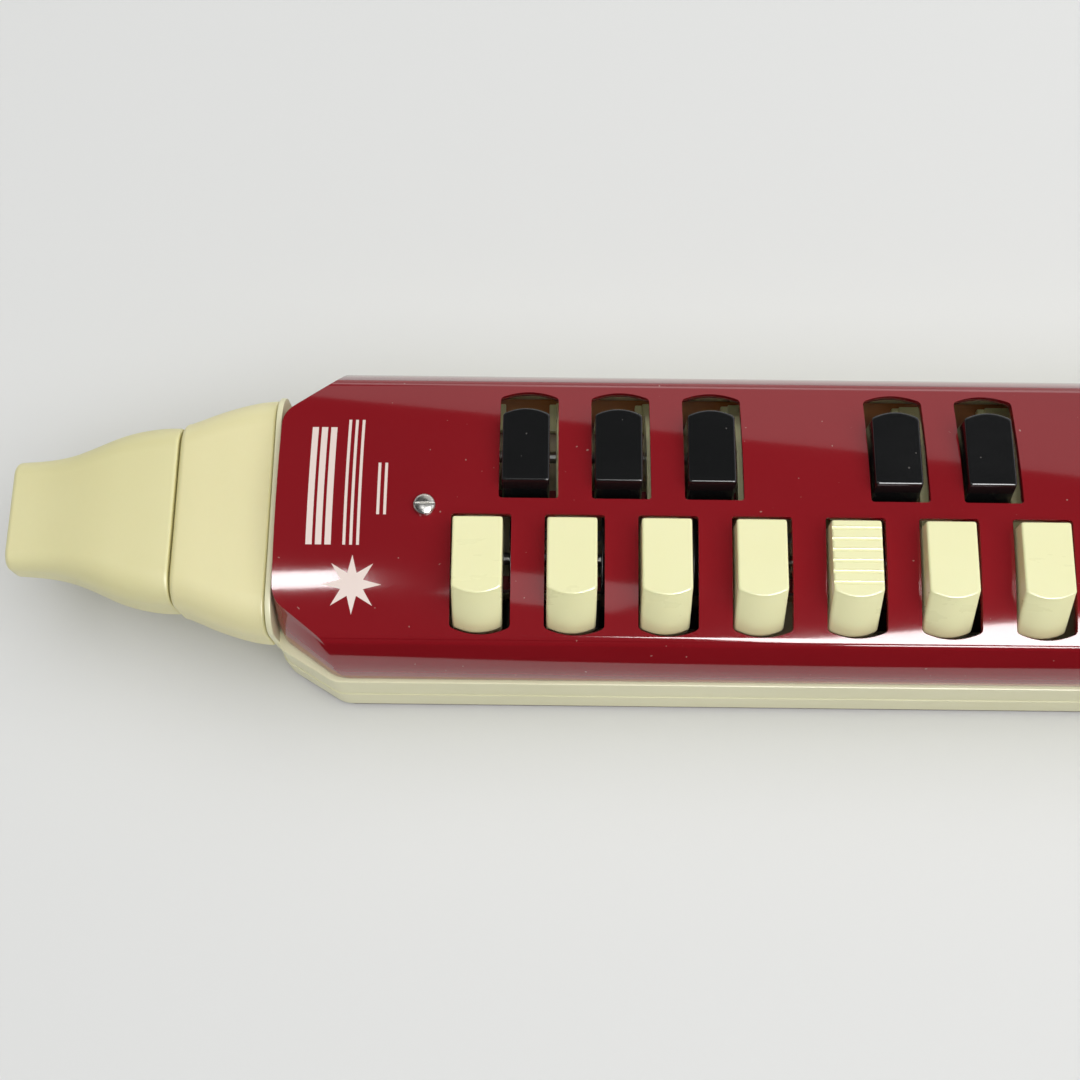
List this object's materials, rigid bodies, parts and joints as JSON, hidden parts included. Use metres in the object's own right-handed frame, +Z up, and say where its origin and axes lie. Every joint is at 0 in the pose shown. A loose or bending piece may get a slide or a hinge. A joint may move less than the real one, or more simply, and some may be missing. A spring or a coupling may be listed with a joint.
{
  "type": "melodica",
  "caption": "Button-key reed instrument blown through a mouthpiece: an arched top cover over two rows of spring-returned lever keys on a sealed wind chest.",
  "frame": {"origin": "bottom centre of the whole instrument's bounding box at rest, on the surface it lies on", "axes": "+X along the instrument from the mouthpiece to the far end (low notes to high), +Y from the white-key row to the black-key row, +Z up through the key tops"},
  "size_m": [0.386, 0.0654, 0.0398],
  "materials": {
    "cover_red": "high-gloss moulded deep red plastic with faint flow waves",
    "case_cream": "satin aged cream plastic",
    "chest_cream": "plain moulded cream plastic",
    "white_key": "semi-gloss cream plastic",
    "black_key": "glossy black plastic",
    "bottom_brown": "satin dark red-brown plastic",
    "steel": "bright nickel-plated steel",
    "reed_brass": "rolled brass sheet, slightly tarnished",
    "felt": "pressed wool felt",
    "seal_rubber": "matt black rubber"
  },
  "bodies": {
    "case": {"top_cover": "cover_red", "body_frame": "case_cream", "bottom_cover": "bottom_brown", "mouthpiece_collar": "case_cream", "collar_gasket": "seal_rubber", "wind_chest": "chest_cream", "white_reed_plate": "reed_brass", "black_reed_plate": "reed_brass", "white_key_axle": "steel", "black_key_axle": "steel", "white_spring_comb": "steel", "black_spring_comb": "steel", "white_key_felt": "felt", "black_key_felt": "felt", "cover_screw_left": "steel", "cover_screw_right": "steel", "bottom_screw_1": "steel", "bottom_screw_2": "steel", "bottom_screw_3": "steel", "bottom_screw_4": "steel", "drain_spring": "steel"},
    "mouthpiece": {"mouthpiece": "case_cream", "mouthpiece_seal": "seal_rubber"},
    "drain_button": {"drain_button": "case_cream", "drain_seal": "seal_rubber"},
    "white_key_01": {"white_key_01": "white_key"},
    "white_key_02": {"white_key_02": "white_key"},
    "white_key_03": {"white_key_03": "white_key"},
    "white_key_04": {"white_key_04": "white_key"},
    "white_key_05": {"white_key_05": "white_key"},
    "white_key_06": {"white_key_06": "white_key"},
    "white_key_07": {"white_key_07": "white_key"},
    "white_key_08": {"white_key_08": "white_key"},
    "white_key_09": {"white_key_09": "white_key"},
    "white_key_10": {"white_key_10": "white_key"},
    "white_key_11": {"white_key_11": "white_key"},
    "white_key_12": {"white_key_12": "white_key"},
    "white_key_13": {"white_key_13": "white_key"},
    "white_key_14": {"white_key_14": "white_key"},
    "white_key_15": {"white_key_15": "white_key"},
    "black_key_01": {"black_key_01": "black_key"},
    "black_key_02": {"black_key_02": "black_key"},
    "black_key_03": {"black_key_03": "black_key"},
    "black_key_04": {"black_key_04": "black_key"},
    "black_key_05": {"black_key_05": "black_key"},
    "black_key_06": {"black_key_06": "black_key"},
    "black_key_07": {"black_key_07": "black_key"},
    "black_key_08": {"black_key_08": "black_key"},
    "black_key_09": {"black_key_09": "black_key"},
    "black_key_10": {"black_key_10": "black_key"}
  },
  "joints": [
    {"name": "mouthpiece_pull", "type": "slide", "parent": "case", "child": "mouthpiece", "axis": [-1, 0, 0], "range_m": [0, 0.012]},
    {"name": "drain_button_press", "type": "slide", "parent": "case", "child": "drain_button", "axis": [-1, 0, 0], "range_m": [0, 0.002], "stiffness_N_per_m": 150, "springref_m": -0.004, "deforming": ["drain_spring"]},
    {"name": "white_key_01_press", "type": "hinge", "parent": "case", "child": "white_key_01", "pos_m": [-0.0995, 0.0145, 0.022], "axis": [1, 0, 0], "range_deg": [0, 7], "stiffness_Nm_per_rad": 0.08, "springref_deg": -11.46},
    {"name": "white_key_02_press", "type": "hinge", "parent": "case", "child": "white_key_02", "pos_m": [-0.0817, 0.0145, 0.022], "axis": [1, 0, 0], "range_deg": [0, 7], "stiffness_Nm_per_rad": 0.08, "springref_deg": -11.46},
    {"name": "white_key_03_press", "type": "hinge", "parent": "case", "child": "white_key_03", "pos_m": [-0.0639, 0.0145, 0.022], "axis": [1, 0, 0], "range_deg": [0, 7], "stiffness_Nm_per_rad": 0.08, "springref_deg": -11.46},
    {"name": "white_key_04_press", "type": "hinge", "parent": "case", "child": "white_key_04", "pos_m": [-0.0461, 0.0145, 0.022], "axis": [1, 0, 0], "range_deg": [0, 7], "stiffness_Nm_per_rad": 0.08, "springref_deg": -11.46},
    {"name": "white_key_05_press", "type": "hinge", "parent": "case", "child": "white_key_05", "pos_m": [-0.0283, 0.0145, 0.022], "axis": [1, 0, 0], "range_deg": [0, 7], "stiffness_Nm_per_rad": 0.08, "springref_deg": -11.46},
    {"name": "white_key_06_press", "type": "hinge", "parent": "case", "child": "white_key_06", "pos_m": [-0.0105, 0.0145, 0.022], "axis": [1, 0, 0], "range_deg": [0, 7], "stiffness_Nm_per_rad": 0.08, "springref_deg": -11.46},
    {"name": "white_key_07_press", "type": "hinge", "parent": "case", "child": "white_key_07", "pos_m": [0.0073, 0.0145, 0.022], "axis": [1, 0, 0], "range_deg": [0, 7], "stiffness_Nm_per_rad": 0.08, "springref_deg": -11.46},
    {"name": "white_key_08_press", "type": "hinge", "parent": "case", "child": "white_key_08", "pos_m": [0.0251, 0.0145, 0.022], "axis": [1, 0, 0], "range_deg": [0, 7], "stiffness_Nm_per_rad": 0.08, "springref_deg": -11.46},
    {"name": "white_key_09_press", "type": "hinge", "parent": "case", "child": "white_key_09", "pos_m": [0.0429, 0.0145, 0.022], "axis": [1, 0, 0], "range_deg": [0, 7], "stiffness_Nm_per_rad": 0.08, "springref_deg": -11.46},
    {"name": "white_key_10_press", "type": "hinge", "parent": "case", "child": "white_key_10", "pos_m": [0.0607, 0.0145, 0.022], "axis": [1, 0, 0], "range_deg": [0, 7], "stiffness_Nm_per_rad": 0.08, "springref_deg": -11.46},
    {"name": "white_key_11_press", "type": "hinge", "parent": "case", "child": "white_key_11", "pos_m": [0.0785, 0.0145, 0.022], "axis": [1, 0, 0], "range_deg": [0, 7], "stiffness_Nm_per_rad": 0.08, "springref_deg": -11.46},
    {"name": "white_key_12_press", "type": "hinge", "parent": "case", "child": "white_key_12", "pos_m": [0.0963, 0.0145, 0.022], "axis": [1, 0, 0], "range_deg": [0, 7], "stiffness_Nm_per_rad": 0.08, "springref_deg": -11.46},
    {"name": "white_key_13_press", "type": "hinge", "parent": "case", "child": "white_key_13", "pos_m": [0.1141, 0.0145, 0.022], "axis": [1, 0, 0], "range_deg": [0, 7], "stiffness_Nm_per_rad": 0.08, "springref_deg": -11.46},
    {"name": "white_key_14_press", "type": "hinge", "parent": "case", "child": "white_key_14", "pos_m": [0.1319, 0.0145, 0.022], "axis": [1, 0, 0], "range_deg": [0, 7], "stiffness_Nm_per_rad": 0.08, "springref_deg": -11.46},
    {"name": "white_key_15_press", "type": "hinge", "parent": "case", "child": "white_key_15", "pos_m": [0.1497, 0.0145, 0.022], "axis": [1, 0, 0], "range_deg": [0, 7], "stiffness_Nm_per_rad": 0.08, "springref_deg": -11.46},
    {"name": "black_key_01_press", "type": "hinge", "parent": "case", "child": "black_key_01", "pos_m": [-0.0906, -0.007, 0.022], "axis": [-1, 0, 0], "range_deg": [0, 8], "stiffness_Nm_per_rad": 0.06, "springref_deg": -11.46},
    {"name": "black_key_02_press", "type": "hinge", "parent": "case", "child": "black_key_02", "pos_m": [-0.0728, -0.007, 0.022], "axis": [-1, 0, 0], "range_deg": [0, 8], "stiffness_Nm_per_rad": 0.06, "springref_deg": -11.46},
    {"name": "black_key_03_press", "type": "hinge", "parent": "case", "child": "black_key_03", "pos_m": [-0.055, -0.007, 0.022], "axis": [-1, 0, 0], "range_deg": [0, 8], "stiffness_Nm_per_rad": 0.06, "springref_deg": -11.46},
    {"name": "black_key_04_press", "type": "hinge", "parent": "case", "child": "black_key_04", "pos_m": [-0.0194, -0.007, 0.022], "axis": [-1, 0, 0], "range_deg": [0, 8], "stiffness_Nm_per_rad": 0.06, "springref_deg": -11.46},
    {"name": "black_key_05_press", "type": "hinge", "parent": "case", "child": "black_key_05", "pos_m": [-0.0016, -0.007, 0.022], "axis": [-1, 0, 0], "range_deg": [0, 8], "stiffness_Nm_per_rad": 0.06, "springref_deg": -11.46},
    {"name": "black_key_06_press", "type": "hinge", "parent": "case", "child": "black_key_06", "pos_m": [0.034, -0.007, 0.022], "axis": [-1, 0, 0], "range_deg": [0, 8], "stiffness_Nm_per_rad": 0.06, "springref_deg": -11.46},
    {"name": "black_key_07_press", "type": "hinge", "parent": "case", "child": "black_key_07", "pos_m": [0.0518, -0.007, 0.022], "axis": [-1, 0, 0], "range_deg": [0, 8], "stiffness_Nm_per_rad": 0.06, "springref_deg": -11.46},
    {"name": "black_key_08_press", "type": "hinge", "parent": "case", "child": "black_key_08", "pos_m": [0.0696, -0.007, 0.022], "axis": [-1, 0, 0], "range_deg": [0, 8], "stiffness_Nm_per_rad": 0.06, "springref_deg": -11.46},
    {"name": "black_key_09_press", "type": "hinge", "parent": "case", "child": "black_key_09", "pos_m": [0.1052, -0.007, 0.022], "axis": [-1, 0, 0], "range_deg": [0, 8], "stiffness_Nm_per_rad": 0.06, "springref_deg": -11.46},
    {"name": "black_key_10_press", "type": "hinge", "parent": "case", "child": "black_key_10", "pos_m": [0.123, -0.007, 0.022], "axis": [-1, 0, 0], "range_deg": [0, 8], "stiffness_Nm_per_rad": 0.06, "springref_deg": -11.46}
  ]
}
